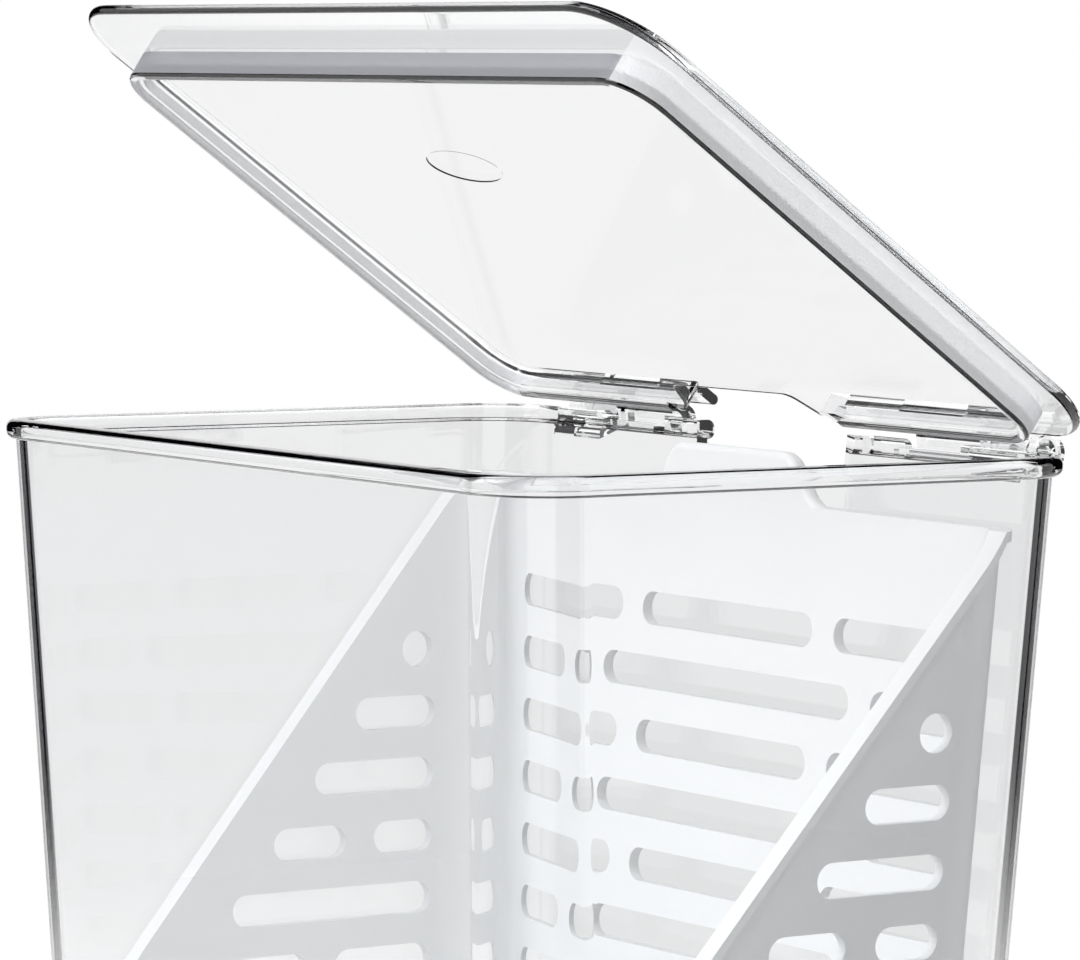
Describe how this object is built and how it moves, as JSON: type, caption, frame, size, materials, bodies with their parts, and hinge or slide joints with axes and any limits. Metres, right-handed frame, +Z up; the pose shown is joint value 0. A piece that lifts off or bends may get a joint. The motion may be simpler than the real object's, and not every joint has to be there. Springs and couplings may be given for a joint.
{
  "type": "herb keeper",
  "caption": "Clear tapered box with a hinged clear lid and a slotted white lift-out basket with a grip tab, for keeping fresh herbs upright in a little water.",
  "frame": {"origin": "centre of the container's base, at the height it stands on", "axes": "+Z up; X along the hinge; +Y towards the hinge side, so the lid opens from -Y"},
  "size_m": [0.1518, 0.1075, 0.2957],
  "materials": {
    "clear_body": "clear, polished",
    "clear_lid": "clear, polished, with softly frosted plug faces",
    "white_basket": "satin white"
  },
  "bodies": {
    "body": {"container": "clear_body", "basket": "white_basket"},
    "lid": {"lid": "clear_lid"}
  },
  "joints": [
    {"name": "lid_hinge", "type": "hinge", "parent": "body", "child": "lid", "pos_m": [0, 0.0533, 0.2314], "axis": [-1, 0, 0], "range_deg": [-35, 70]}
  ]
}
